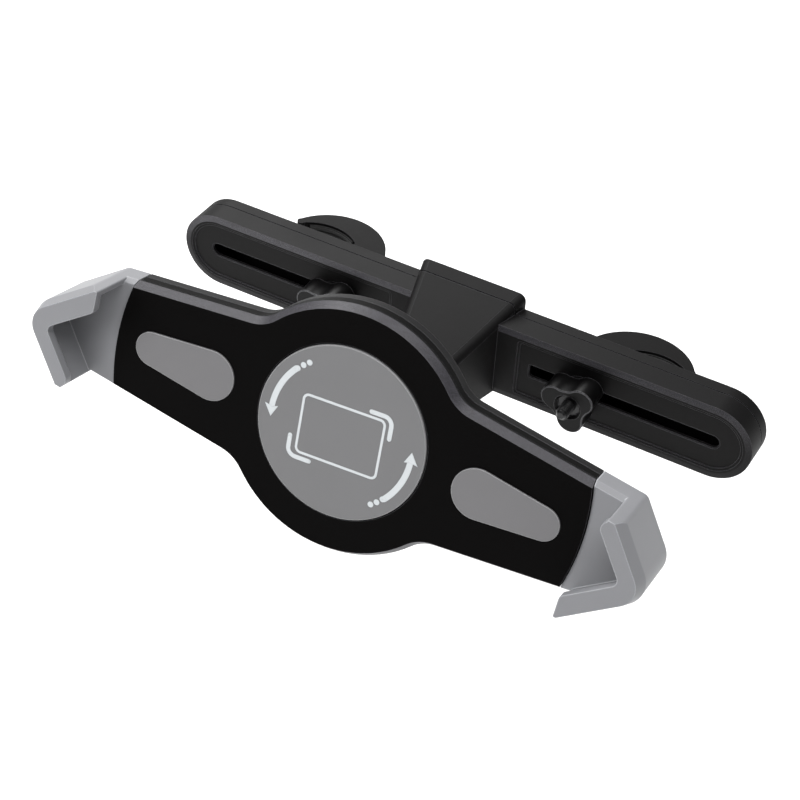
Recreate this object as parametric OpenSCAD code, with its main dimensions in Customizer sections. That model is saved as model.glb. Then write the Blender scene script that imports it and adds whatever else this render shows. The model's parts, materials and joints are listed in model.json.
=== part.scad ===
// Tablet holder for the two posts of a car headrest.
// A cross rail is clamped to the posts by two sliding hooks with star knobs.
// A ball joint on the nose of the rail carries a turning cradle whose two
// jaws are linked by racks and a pinion and are pulled shut by a flat spring.
//
// Frame: origin at the middle of the rail's back face, X along the rail,
// Y towards the headrest posts, Z up. The cradle faces -Y.

/* [Rail] */
// Length of the cross rail
rail_length = 240; // [200:1:300]
// Height of the cross rail
rail_height = 31.6; // [29:0.1:38]
// Depth of the rail from front to back
rail_depth = 14.7; // [13:0.1:20]
// Height of the shell split above the back face
rail_split = 5.3; // [4:0.1:7]
// Wall thickness of the rail shells
rail_wall = 2.2; // [1.6:0.1:3]
// Width of the bevel round the rail's front
rail_bevel_w = 2.5; // [0.5:0.1:4]
// Depth of the bevel round the rail's front
rail_bevel_d = 0.45; // [0.2:0.05:1.5]
// Distance from the rail's outline to the sunk panel
panel_inset = 3.4; // [2.6:0.1:5]
// Depth of the sunk panel
panel_depth = 0.75; // [0.4:0.05:1.2]
// Distance from the rail's middle to the sunk panel
panel_start = 26.6; // [24:0.1:34]
// Distance from the rail's middle to the start of a slot
slot_start = 32; // [29:0.1:40]
// Distance from the rail's end to the end of a slot
slot_end_gap = 12.6; // [11.6:0.1:20]
// Height of a slot
slot_height = 5.3; // [5.3:0.1:7]

/* [Nose] */
// Half width of the nose where it leaves the rail's front
nose_half_w = 18.3; // [15:0.1:21]
// Height of the nose's top where it leaves the rail's front
nose_top = 17.6; // [17:0.1:22]
// Fall of the nose's top for each millimetre forward
nose_fall = 0.27; // [0.15:0.01:0.27]
// Side taper of the nose for each millimetre forward
nose_taper = 0.24; // [0.1:0.01:0.24]
// Distance from the ball's middle back to the nose's front face
nose_face = 28; // [26:0.5:32]
// Edge radius along the nose's top
nose_round = 3; // [1:0.1:4]
// Wall thickness of the nose
nose_wall = 2.6; // [2:0.1:3.2]

/* [Clamps] */
// Distance of the left clamp from the rail's middle
left_clamp_x = 51; // [40:1:98]
// Distance of the right clamp from the rail's middle
right_clamp_x = 53; // [40:1:98]
// Gap between the rail's back and the left hook
left_hook_gap = 5; // [0.3:0.1:5.5]
// Gap between the rail's back and the right hook
right_hook_gap = 2; // [0.3:0.1:5.5]
// Height of a hook
hook_height = 13; // [12:0.5:20]
// Outer radius of a hook's arc
hook_outer_r = 22.3; // [22:0.1:24]
// Inner radius of a hook's arc
hook_inner_r = 19; // [18.4:0.1:19.4]
// Proud height of the ribbed liner in a hook
hook_pad_t = 0.9; // [0.6:0.1:1.4]
// Thread diameter of the clamp bolts
bolt_d = 5; // [4.6:0.1:5]
// Length of a clamp bolt under its head
bolt_length = 40; // [38:0.5:46]
// Reach of a knob's lobes from its axis
knob_reach = 11.1; // [10.5:0.1:13]
// Radius of a knob's lobes
knob_lobe_r = 5; // [4.5:0.1:5.4]
// Thickness of a knob
knob_t = 9.2; // [8:0.1:11]

/* [Ball joint] */
// Radius of the ball
ball_r = 8.5; // [8:0.1:9]
// Radius of the neck behind the ball
neck_r = 4.2; // [3.6:0.1:4.4]
// Upward slant of the ball stud in degrees
stud_slant = 17.1; // [5:0.1:20]
// Forward distance of the ball from the rail's front
ball_reach = 59.8; // [57:0.1:66]
// Height of the ball above the rail's middle line
ball_height = 9.94; // [8:0.01:12]
// Turn of the cradle to one side in degrees
cradle_yaw = 3.8; // [-15:0.1:15]
// Turn of the cradle about its own middle in degrees
cradle_roll = -4.6; // [-180:0.1:180]
// Distance from the cradle's front to the ball's middle
ball_depth = 24.5; // [24.5:0.1:28]

/* [Cradle] */
// Radius of the round middle of the cradle
cradle_r = 45.8; // [43:0.1:50]
// Distance from the cradle's middle to an arm's end
arm_reach = 89.6; // [84:0.1:100]
// Half width of an arm measured back to the cradle's middle
arm_half = 31.64; // [31:0.01:34]
// Taper of an arm's edge for each millimetre outward
arm_taper = 0.1205; // [0.08:0.0005:0.13]
// Radius of the hollow between the middle and an arm
arm_fillet = 12.6; // [8:0.1:18]
// Thickness of the cradle
cradle_t = 11.3; // [11.3:0.1:13]
// Width of the bevel round the cradle's face
cradle_bevel_w = 1.9; // [1:0.1:2.2]
// Depth of the bevel round the cradle's face
cradle_bevel_d = 3.1; // [1.5:0.1:3.2]
// Wall thickness of the cradle's covers
cradle_wall = 2.2; // [1.6:0.1:2.4]
// Radius of the round plate in the middle
disc_r = 31.5; // [24:0.1:34]
// Height of the round plate above the cradle's face
disc_proud = 0.6; // [0.3:0.1:1.2]
// Distance of a grip pad's broad end from the middle
pad_x = 51.7; // [46:0.1:54]
// Radius of a grip pad's broad end
pad_r = 9.3; // [7:0.1:10]
// Distance of a grip pad's narrow end from the middle
pad_tip_x = 75.4; // [70:0.1:80]
// Radius of a grip pad's narrow end
pad_tip_r = 6.3; // [4:0.1:7]
// Height of the grip pads above the cradle's face
pad_proud = 0.5; // [0.2:0.1:1]

/* [Jaws] */
// Corner of a jaw outside, along the cradle
jaw_x = 119.7; // [116:0.1:126]
// Corner of a jaw outside, across the cradle
jaw_y = -2.5; // [-4:0.1:0]
// Angle between the cradle and a tablet's long side
jaw_angle = 36.87; // [34:0.01:40]
// Wall thickness of a jaw
jaw_wall = 4; // [3:0.1:4.5]
// Width of the lip along a tablet's long side
lip_long = 8.7; // [7.5:0.1:10]
// Width of the lip along a tablet's short side
lip_short = 7.2; // [6.5:0.1:9]
// Height of the lip's face above the cradle's face
lip_front = 17; // [13:0.1:22]
// Thickness of the lip
lip_t = 3.5; // [2.5:0.1:4.5]
// Depth of a jaw's floor below the cradle's face
jaw_floor = 1; // [0.6:0.1:1.6]
// Travel of each jaw
jaw_travel = 38; // [20:1:38]

/* [Hidden] */
$fn = 64;
slide_gap = 0.3;
seam = 0.35;
rail_r = rail_height / 2;
rail_straight = rail_length - rail_height;
slot_end = rail_length / 2 - slot_end_gap;
end_screw_x = rail_length / 2 - 6.8;
mid_screw_x = 27.5;
mid_screw_z = 9.8;
washer_t = 1.9;
bush_w = 9;
bush_h = slot_height - 0.2;
knob_back = rail_depth - panel_depth + washer_t + 0.1;
nut_flats = 7.9;
head_floor = 7.4;
hook_outer_c = [14, -1.8];
hook_inner_c = [19.5, -7.5];
hook_tip_y = 7.8;
hook_root_w = 6.8;
module_mm = 1;
pinion_teeth = 16;
pinion_r = module_mm * pinion_teeth / 2;
tooth_play = 0.12;
post_r = 4;
inner_top = -3.2;
inner_bottom = -cradle_t + 2.4;
split_w = inner_bottom + 1.2;
tongue_top = inner_top - 0.4;
tongue_bottom = inner_bottom + 0.3;
tongue_half = 16.9;
tongue_start = 36;
gear_top = tongue_bottom + 2.6;
cup_r = 12.6;
liner_r = ball_r + 1.55;
lip_bevel_w = 1.7;
lip_bevel_d = 5.5;
lip_end_x = arm_reach + 2.2;
jaw_round = 9;

// Sub-part to show

// Points of a polygon with every corner rounded by its own radius
function corner_arc(p, q, s, r, n) = r == 0 ? [q] :
    let (a = (p - q) / norm(p - q), b = (s - q) / norm(s - q),
         half = acos(a * b) / 2,
         mid = (a + b) / norm(a + b),
         c = q + mid * r / sin(half),
         t1 = q + a * r / tan(half),
         t2 = q + b * r / tan(half),
         a1 = atan2(t1[1] - c[1], t1[0] - c[0]),
         raw = atan2(t2[1] - c[1], t2[0] - c[0]) - a1,
         turn = raw > 180 ? raw - 360 : raw < -180 ? raw + 360 : raw)
    [for (i = [0:n]) c + r * [cos(a1 + turn * i / n), sin(a1 + turn * i / n)]];

function rounded(pts, radii, n = 8) =
    let (k = len(pts))
    [for (i = [0:k - 1], v = corner_arc(pts[(i + k - 1) % k], pts[i], pts[(i + 1) % k], radii[i], n)) v];

function involute(a) = tan(a) - a * PI / 180;

// Places a shape drawn with its height towards the front
module facing_front() {
    rotate([90, 0, 0])
        children();
}

module at_ball() {
    translate([0, -rail_depth - ball_reach, ball_height])
        children();
}

// Axis of the ball stud, pointing forward and up from the ball's middle
module along_stud() {
    at_ball()
        rotate([90 - stud_slant, 0, 0])
            children();
}

// The hub's own frame: X right, Y up, Z out of the front, face at zero
module hub_frame() {
    at_ball()
        rotate([0, 0, cradle_yaw])
            rotate([90 - stud_slant, 0, 0])
                translate([0, 0, ball_depth])
                    children();
}

module cradle_frame() {
    hub_frame()
        rotate([0, 0, cradle_roll])
            children();
}

// Bevel cutter along a straight edge, with the outside on its right
module edge_cut(from, angle, length, width, depth, top) {
    slope = width / depth;
    translate([from[0], from[1], top])
        rotate([90, 0, angle + 90])
            linear_extrude(height = length)
                polygon([
                    [width + slope, 1], [-slope / 2, -depth - 0.5], [-6, -depth - 0.5], [-6, 1]
                ]);
}

// Bevel cutter round an outer corner
module corner_cut(middle, r, start, sweep, width, depth, top) {
    slope = width / depth;
    translate([middle[0], middle[1], top])
        rotate([0, 0, start])
            rotate_extrude(angle = sweep, $fn = 128)
                polygon([
                    [r - width - slope, 1], [r + slope / 2, -depth - 0.5], [r + 6, -depth - 0.5], [r + 6, 1]
                ]);
}

// Bevel cutter round an inner corner
module hollow_cut(middle, r, start, sweep, width, depth, top) {
    slope = width / depth;
    translate([middle[0], middle[1], top])
        rotate([0, 0, start])
            rotate_extrude(angle = sweep, $fn = 128)
                polygon([
                    [r + width + slope, 1], [r - slope / 2, -depth - 0.5], [r - 4, -depth - 0.5], [r - 4, 1]
                ]);
}

module stadium(straight, r) {
    square([straight, 2 * r], center = true);
    for (s = [-1, 1])
        translate([s * straight / 2, 0])
            circle(r, $fn = 96);
}

// Half profile swept round a stadium's edge
module stadium_sweep(straight) {
    rotate([90, 0, 90])
        linear_extrude(height = straight, center = true) {
            children();
            mirror([1, 0])
                children();
        }
    for (s = [0, 1])
        rotate([0, 0, 180 * s])
            translate([straight / 2, 0, 0])
                rotate([0, 0, -90])
                    rotate_extrude(angle = 180, $fn = 96)
                        children();
}

// Outline of one half of the rail's front, square at the inner end
module half_panel(start, inset, round) {
    r = rail_r - inset;
    stop = rail_straight / 2;
    translate([stop, 0])
        circle(r, $fn = 96);
    polygon(rounded([[start, -r], [stop, -r], [stop, r], [start, r]], [round, 0, 0, round], 4));
}

module slot_outline(grow) {
    r = slot_height / 2 + grow;
    stop = slot_end - slot_height / 2;
    start = slot_start - grow;
    translate([stop, 0])
        circle(r, $fn = 32);
    polygon(rounded([[start, -r], [stop, -r], [stop, r], [start, r]], [0.9, 0, 0, 0.9], 4));
}

function nose_half(y) = nose_half_w - nose_taper * y;
function nose_roof(y) = nose_top - nose_fall * y;

// Rounds the nose's slanting upper edge, seen from the front on the right
module nose_edge_cut(inset) {
    r = nose_round - inset;
    edge = [nose_taper, 1, nose_fall] / norm([nose_taper, 1, nose_fall]);
    side = [1, -nose_taper, 0] / norm([1, -nose_taper, 0]);
    roof = [0, -nose_fall, 1] / norm([0, -nose_fall, 1]);
    corner = [nose_half_w - inset * 1.03, -rail_depth, nose_top - inset];
    half = (180 - acos(side * roof)) / 2;
    mid = (side + roof) / norm(side + roof);
    cross_mid = cross(edge, mid);
    reach = r / sin(half);
    multmatrix([
        [mid[0], cross_mid[0], edge[0], corner[0]],
        [mid[1], cross_mid[1], edge[1], corner[1]],
        [mid[2], cross_mid[2], edge[2], corner[2]],
        [0, 0, 0, 1]
    ])
        translate([0, 0, -60])
            linear_extrude(height = 90)
                difference() {
                    polygon([
                        [-reach, 0], [-reach * pow(cos(half), 2), -r * cos(half)], [1, -r * cos(half) - 1],
                        [1, r * cos(half) + 1], [-reach * pow(cos(half), 2), r * cos(half)]
                    ]);
                    translate([-reach, 0])
                        circle(r - 0.04);
                }
}

// Body of the nose with its walls moved inward, from the back to the front face
module nose_body(inset, back, front) {
    knee = -rail_depth - 6.5;
    toe = -rail_depth - 40;
    top = nose_half(-rail_depth) - inset * 1.03;
    low = nose_half(40) - inset * 1.03;
    lift = 8.5;
    difference() {
        intersection() {
            translate([0, 0, -40])
                linear_extrude(height = 80)
                    polygon([[-top, 0], [-low, toe], [low, toe], [top, 0]]);
            rotate([90, 0, 90])
                linear_extrude(height = 60, center = true)
                    polygon([
                        [back, -rail_r + inset], [back, nose_roof(-rail_depth - back) - inset],
                        [toe, nose_roof(40) - inset], [toe, -rail_r + lift + inset],
                        [knee, -rail_r + inset]
                    ]);
        }
        along_stud()
            translate([0, 0, -front])
                cylinder(r = 60, h = 60);
        if (inset < 1) {
            nose_edge_cut(inset);
            mirror([1, 0, 0])
                nose_edge_cut(inset);
        }
    }
}

module each_side() {
    for (s = [0, 1])
        mirror([s, 0, 0])
            children();
}

module rail_screw_spots() {
    for (s = [-1, 1]) {
        translate([s * end_screw_x, 0, 0])
            children();
        for (t = [-1, 1])
            translate([s * mid_screw_x, t * mid_screw_z, 0])
                children();
    }
}

module rail_front() {
    color("#2b2a2c")
    difference() {
        union() {
            facing_front()
                stadium_sweep(rail_straight)
                    polygon([
                        [0, rail_split], [rail_r - seam, rail_split], [rail_r - seam, rail_split + seam],
                        [rail_r, rail_split + seam], [rail_r, rail_depth - rail_bevel_d],
                        [rail_r - rail_bevel_w, rail_depth], [0, rail_depth]
                    ]);
            nose_body(0, -rail_split - seam, nose_face);
            intersection() {
                translate([-30, -rail_split - 2, -20])
                    cube([60, 2, 60]);
                nose_body(0.3, -rail_split, nose_face);
            }
        }
        difference() {
            union() {
                facing_front()
                    translate([0, 0, rail_split - 1])
                        linear_extrude(height = rail_depth - rail_wall - rail_split + 1)
                            stadium(rail_straight, rail_r - rail_wall);
                nose_body(nose_wall, -rail_split + 1, nose_face + 4.5);
            }
            facing_front()
                rail_screw_spots()
                    translate([0, 0, rail_split])
                        cylinder(r = 3, h = 12);
        }
        along_stud()
            translate([0, 0, -50])
                cylinder(r = 3.1, h = 40);
        facing_front()
            each_side() {
                translate([0, 0, rail_depth - 0.35])
                    linear_extrude(height = 2)
                        half_panel(panel_start, panel_inset, 1.6);
                translate([0, 0, rail_depth - panel_depth])
                    linear_extrude(height = 2)
                        half_panel(panel_start + 1, panel_inset + 1, 1);
                translate([0, 0, rail_depth - panel_depth - 0.3])
                    linear_extrude(height = 2)
                        slot_outline(0.45);
                translate([0, 0, rail_depth - rail_wall - 1])
                    linear_extrude(height = 4)
                        slot_outline(0);
            }
        facing_front()
            rail_screw_spots()
                translate([0, 0, rail_split - 1])
                    cylinder(r = 1.15, h = 7.5, $fn = 24);
    }
}

module rail_back() {
    color("#2b2a2c")
    difference() {
        union() {
            difference() {
                union() {
                    facing_front()
                        stadium_sweep(rail_straight)
                            polygon([[0, 0], [rail_r - 0.7, 0], [rail_r, 0.7], [rail_r, rail_split], [0, rail_split]]);
                    difference() {
                        nose_body(0, 0, nose_face);
                        translate([-60, -rail_depth - 60, -40])
                            cube([120, 60 + rail_depth - rail_split, 80]);
                    }
                }
                facing_front()
                    translate([0, 0, rail_wall])
                        linear_extrude(height = rail_split)
                            stadium(rail_straight, rail_r - rail_wall);
                nose_body(nose_wall, -rail_wall, nose_face);
            }
            facing_front()
                rail_screw_spots()
                    cylinder(r = 3, h = rail_split);
        }
        facing_front() {
            each_side()
                translate([0, 0, -1])
                    linear_extrude(height = rail_wall + 2)
                        slot_outline(0);
            rail_screw_spots() {
                translate([0, 0, -1])
                    cylinder(r = 1.5, h = 8, $fn = 24);
                translate([0, 0, -0.01])
                    cylinder(r1 = 2.9, r2 = 1.5, h = 1.5, $fn = 32);
            }
        }
    }
}

module self_tapper(length) {
    difference() {
        union() {
            cylinder(r1 = 2.6, r2 = 1.1, h = 1.4, $fn = 32);
            cylinder(r = 1.1, h = length, $fn = 24);
        }
        for (a = [0, 90])
            rotate([0, 0, a])
                translate([-1.3, -0.25, -0.1])
                    cube([2.6, 0.5, 0.9]);
    }
}

module rail_screws() {
    color("#55565a")
    facing_front()
        rail_screw_spots()
            translate([0, 0, 0.15])
                self_tapper(11);
}

module ball_stud() {
    color("#232325")
    along_stud() {
        difference() {
            sphere(r = ball_r);
            translate([0, 0, ball_r - 1])
                cylinder(r = 2.6, h = 3, $fn = 6);
        }
        translate([0, 0, -nose_face + 3])
            cylinder(r = neck_r, h = nose_face - 4);
        translate([0, 0, -nose_face + 2])
            cylinder(r1 = 7, r2 = neck_r, h = 3);
        translate([0, 0, -nose_face])
            cylinder(r = 7, h = 2.01);
        translate([0, 0, -nose_face - 13.5])
            cylinder(r = 3, h = 14);
    }
}

module ball_stud_nut() {
    color("#8b8d92")
    along_stud()
        translate([0, 0, -nose_face - 10])
            difference() {
                cylinder(r = 5.77, h = 5.45, $fn = 6);
                translate([0, 0, -1])
                    cylinder(r = 3.05, h = 8);
            }
}

// A clamp's frame: bolt axis at the origin, X outboard, rail's back at y = 0
module left_clamp() {
    translate([-left_clamp_x, 0, 0])
        mirror([1, 0, 0])
            children();
}

module right_clamp() {
    translate([right_clamp_x, 0, 0])
        children();
}

module slot_bush() {
    facing_front()
        difference() {
            union() {
                translate([0, 0, rail_depth - panel_depth])
                    cylinder(r = 6.4, h = washer_t);
                translate([0, 0, rail_depth - rail_wall - 1.2])
                    linear_extrude(height = rail_wall + 1.2 - panel_depth + 0.1)
                        stadium(bush_w - bush_h, bush_h / 2);
            }
            translate([0, 0, 5])
                cylinder(r = bolt_d / 2 + 0.1, h = 20);
        }
}

module left_slot_bush() {
    color("#202022")
    left_clamp()
        slot_bush();
}

module right_slot_bush() {
    color("#202022")
    right_clamp()
        slot_bush();
}

module knob_outline(trim) {
    c = knob_reach - knob_lobe_r;
    valley = 6.8;
    // radius of the hollow that touches both lobes and reaches the valley
    rho = (valley * valley - valley * c + c * c - knob_lobe_r * knob_lobe_r) / (2 * knob_lobe_r - 2 * valley + c);
    far = valley + rho;
    difference() {
        polygon([for (i = [0:5]) (i % 2 == 0 ? c : far) * [cos(60 * i), sin(60 * i)]]);
        for (i = [0:2])
            rotate([0, 0, 60 + 120 * i])
                translate([far, 0])
                    circle(rho + trim);
    }
    for (i = [0:2])
        rotate([0, 0, 120 * i])
            translate([c, 0])
                circle(knob_lobe_r - trim);
}

module star_knob() {
    front = knob_back + knob_t;
    facing_front()
        rotate([0, 0, 43])
            difference() {
                union() {
                    translate([0, 0, knob_back])
                        linear_extrude(height = knob_t - 0.35)
                            knob_outline(0);
                    translate([0, 0, front - 0.5])
                        linear_extrude(height = 0.5)
                            knob_outline(0.35);
                }
                translate([0, 0, knob_back - 1])
                    cylinder(r = bolt_d / 2 + 0.3, h = knob_t + 2);
                translate([0, 0, front - 5.5])
                    cylinder(r = nut_flats / sqrt(3) + 0.08, h = 6, $fn = 6);
                translate([0, 0, front - 1.3])
                    cylinder(r1 = 4.2, r2 = 5.3, h = 1.31);
            }
}

module knob_nut() {
    facing_front()
        rotate([0, 0, 43])
            translate([0, 0, knob_back + knob_t - 5.5])
                difference() {
                    cylinder(r = nut_flats / sqrt(3), h = 4, $fn = 6);
                    translate([0, 0, -1])
                        cylinder(r = bolt_d / 2 + 0.05, h = 6);
                }
}

module left_knob() {
    color("#242426")
    translate([-left_clamp_x, 0, 0])
        star_knob();
}

module right_knob() {
    color("#242426")
    translate([right_clamp_x, 0, 0])
        star_knob();
}

module left_knob_nut() {
    color("#77787c")
    translate([-left_clamp_x, 0, 0])
        knob_nut();
}

module right_knob_nut() {
    color("#77787c")
    translate([right_clamp_x, 0, 0])
        knob_nut();
}

// Where the middle of the tip's round end lies
function arc_x(c, r, y) = c[0] + sqrt(r * r - pow(y - c[1], 2));
function hook_tip_out() = arc_x(hook_outer_c, hook_outer_r, hook_tip_y);
function hook_tip_in() = arc_x(hook_inner_c, hook_inner_r, hook_tip_y);

module hook_outline() {
    root_y = hook_inner_c[1] + sqrt(pow(hook_inner_r, 2) - pow(hook_inner_c[0] - hook_root_w, 2));
    tip_r = (hook_tip_out() - hook_tip_in()) / 2;
    difference() {
        intersection() {
            translate(hook_outer_c)
                circle(hook_outer_r, $fn = 128);
            translate([-12, 0])
                square([60, 40]);
        }
        difference() {
            translate(hook_inner_c)
                circle(hook_inner_r, $fn = 128);
            square([hook_root_w, root_y]);
        }
        translate([hook_inner_c[0], -1])
            square([40, hook_tip_y + 1]);
    }
    translate([hook_tip_in() + tip_r, hook_tip_y + 0.2])
        circle(tip_r - 0.02, $fn = 32);
}

module hook(gap) {
    key_l = 13;
    translate([0, gap, 0])
        difference() {
            union() {
                translate([0, 0, -hook_height / 2])
                    linear_extrude(height = hook_height)
                        hook_outline();
                translate([0, 1, 0])
                    facing_front()
                        linear_extrude(height = 1 + gap + rail_wall)
                            stadium(key_l - slot_height + 0.2, (slot_height - 0.2) / 2);
            }
            translate([0, -20, 0])
                rotate([-90, 0, 0])
                    cylinder(r = bolt_d / 2 + 0.02, h = 40);
            translate([0, head_floor, 0])
                rotate([-90, 0, 0])
                    cylinder(r = 4.7, h = 30, $fn = 6);
        }
}

module left_hook() {
    color("#29292b")
    left_clamp()
        hook(left_hook_gap);
}

module right_hook() {
    color("#29292b")
    right_clamp()
        hook(right_hook_gap);
}

module hook_pad(gap) {
    half = hook_height / 2 - 1.2;
    ribs = 5;
    pitch = 2 * half / ribs;
    r = hook_inner_r - 0.03;
    translate([hook_inner_c[0], hook_inner_c[1] + gap, 0])
        rotate([0, 0, 60])
            rotate_extrude(angle = 64, $fn = 128) {
                translate([r - 0.45, -half])
                    square([0.45, 2 * half]);
                for (i = [0:ribs - 1])
                    translate([r - hook_pad_t, -half + pitch * (i + 0.22)])
                        square([hook_pad_t - 0.4, pitch * 0.56]);
            }
}

module left_hook_pad() {
    color("#1b1b1c")
    left_clamp()
        hook_pad(left_hook_gap);
}

module right_hook_pad() {
    color("#1b1b1c")
    right_clamp()
        hook_pad(right_hook_gap);
}

module clamp_bolt(gap) {
    translate([0, gap + head_floor, 0])
        rotate([90, 0, 0]) {
            translate([0, 0, -3.5])
                cylinder(r = 4.6, h = 3.5, $fn = 6);
            cylinder(r = bolt_d / 2, h = bolt_length - 0.8);
            translate([0, 0, bolt_length - 0.8])
                cylinder(r1 = bolt_d / 2, r2 = bolt_d / 2 - 0.7, h = 0.8);
        }
}

module left_clamp_bolt() {
    color("#515256")
    left_clamp()
        clamp_bolt(left_hook_gap);
}

module right_clamp_bolt() {
    color("#515256")
    right_clamp()
        clamp_bolt(right_hook_gap);
}

module socket_liner() {
    color("#d9d9d4")
    hub_frame()
        translate([0, 0, -ball_depth])
            difference() {
                sphere(r = liner_r);
                sphere(r = ball_r + 0.05);
                translate([0, 0, -20 - 4])
                    cylinder(r = 20, h = 20);
                cylinder(r = 3, h = 20, $fn = 32);
            }
}

module hub_socket() {
    top = -disc_pocket();
    flange = -cradle_t - 0.7;
    color("#232325")
    hub_frame()
        difference() {
            union() {
                translate([0, 0, flange - 2.6])
                    cylinder(r = post_r, h = top - flange + 2.6);
                translate([0, 0, flange - 2.6])
                    cylinder(r = 15, h = 2.6);
                translate([0, 0, -ball_depth])
                    cylinder(r = cup_r, h = ball_depth + flange - 1);
            }
            translate([0, 0, -ball_depth])
                sphere(r = liner_r + 0.1);
            translate([0, 0, top - 8])
                cylinder(r = 1.15, h = 9, $fn = 24);
        }
}

module socket_ring() {
    grips = 20;
    back = -ball_depth - 5;
    color("#1e1e20")
    hub_frame()
        difference() {
            translate([0, 0, back])
                cylinder(r = 15.4, h = 12.4);
            translate([0, 0, -ball_depth])
                sphere(r = liner_r + 0.1);
            translate([0, 0, -ball_depth - 0.1])
                cylinder(r = cup_r + 0.05, h = 20);
            translate([0, 0, back - 0.01])
                cylinder(r1 = 11, r2 = 8, h = 1.7);
            for (i = [0:grips - 1])
                rotate([0, 0, 360 / grips * i])
                    translate([16.1, 0, back - 1])
                        cylinder(r = 1.3, h = 15, $fn = 20);
        }
}

module friction_washer() {
    color("#c9c9c4")
    hub_frame()
        translate([0, 0, -cradle_t - 0.65])
            difference() {
                cylinder(r = 14, h = 0.6);
                translate([0, 0, -1])
                    cylinder(r = post_r + 0.05, h = 3);
            }
}

function disc_pocket() = 2;

module hub_plate() {
    color("#2a2a2c")
    hub_frame()
        translate([0, 0, -disc_pocket()])
            difference() {
                union() {
                    translate([0, 0, 0.2])
                        cylinder(r = disc_r, h = 1.3, $fn = 128);
                    cylinder(r = 8, h = 0.5);
                }
                translate([0, 0, -1])
                    cylinder(r = 1.3, h = 5, $fn = 24);
                translate([0, 0, 0.05])
                    cylinder(r1 = 1.3, r2 = 2.85, h = 1.46, $fn = 32);
            }
}

module hub_screw() {
    color("#8b8d92")
    hub_frame()
        translate([0, 0, -disc_pocket() + 1.45])
            rotate([180, 0, 0])
                self_tapper(8.5);
}

module center_disc() {
    base = -disc_pocket() + 1.5;
    rim = 0.25;
    color("#8c8c8e")
    hub_frame() {
        translate([0, 0, base])
            cylinder(r = disc_r, h = disc_proud - base - rim, $fn = 128);
        translate([0, 0, disc_proud - rim])
            cylinder(r1 = disc_r, r2 = disc_r - rim, h = rim, $fn = 128);
    }
}

// Middle of the hollow between the round middle and the upper right arm
function arm_angle() = atan(arm_taper);
function hollow_middle() =
    let (a = arm_angle(), p = arm_half * cos(a) + arm_fillet,
         q = sqrt(pow(cradle_r + arm_fillet, 2) - p * p))
    p * [sin(a), cos(a)] + q * [cos(a), -sin(a)];
function arm_edge(x) = arm_half - arm_taper * x;

module arm_outline(inset, reach) {
    shift = inset / cos(arm_angle());
    y0 = arm_edge(0) - shift;
    y1 = arm_edge(reach) - shift;
    polygon([[0, y0], [reach, y1], [reach, -y1], [0, -y0], [-reach, -y1], [-reach, y1]]);
}

// The cradle's outline, moved inward by inset
module cradle_outline(inset, reach) {
    c = hollow_middle();
    a = arm_angle();
    foot = c - arm_fillet * [sin(a), cos(a)];
    circle(cradle_r - inset, $fn = 160);
    intersection() {
        arm_outline(inset, reach + 5);
        circle(reach, $fn = 200);
    }
    difference() {
        for (m = [0, 1], n = [0, 1])
            mirror([m, 0])
                mirror([0, n])
                    polygon([[0, 0], cradle_r * c / norm(c), c, foot]);
        for (m = [-1, 1], n = [-1, 1])
            translate([m * c[0], n * c[1]])
                circle(arm_fillet + inset, $fn = 96);
    }
}

module cradle_bevel(top) {
    c = hollow_middle();
    a = arm_angle();
    turn = atan2(c[1], c[0]);
    foot = c - arm_fillet * [sin(a), cos(a)];
    w = cradle_bevel_w;
    d = cradle_bevel_d;
    lap = 1.5;
    for (m = [0, 1])
        rotate([0, 0, 180 * m])
            corner_cut([0, 0], cradle_r, turn, 180 - 2 * turn, w, d, top);
    for (m = [0, 1], n = [0, 1])
        mirror([m, 0, 0])
            mirror([0, n, 0]) {
                hollow_cut(c, arm_fillet, 180 + turn - lap, 90 - turn - a + 2 * lap, w, d, top);
                edge_cut([foot[0] + 60 * cos(a), foot[1] - 60 * sin(a)], 180 - a, 60, w, d, top);
            }
}

module cradle_screw_spots() {
    for (m = [-1, 1], n = [-1, 1]) {
        translate([m * 58, n * 20.2, 0])
            children();
        translate([m * 24, n * 33, 0])
            children();
    }
}

module pad_outline(grow) {
    r1 = pad_r + grow;
    r2 = pad_tip_r + grow;
    a = acos((r1 - r2) / (pad_tip_x - pad_x));
    n = 16;
    polygon(concat(
        [for (i = [0:2 * n]) let (t = a + (360 - 2 * a) * i / (2 * n)) [pad_x + r1 * cos(t), r1 * sin(t)]],
        [for (i = [0:n]) let (t = -a + 2 * a * i / n) [pad_tip_x + r2 * cos(t), r2 * sin(t)]]
    ));
}

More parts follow.
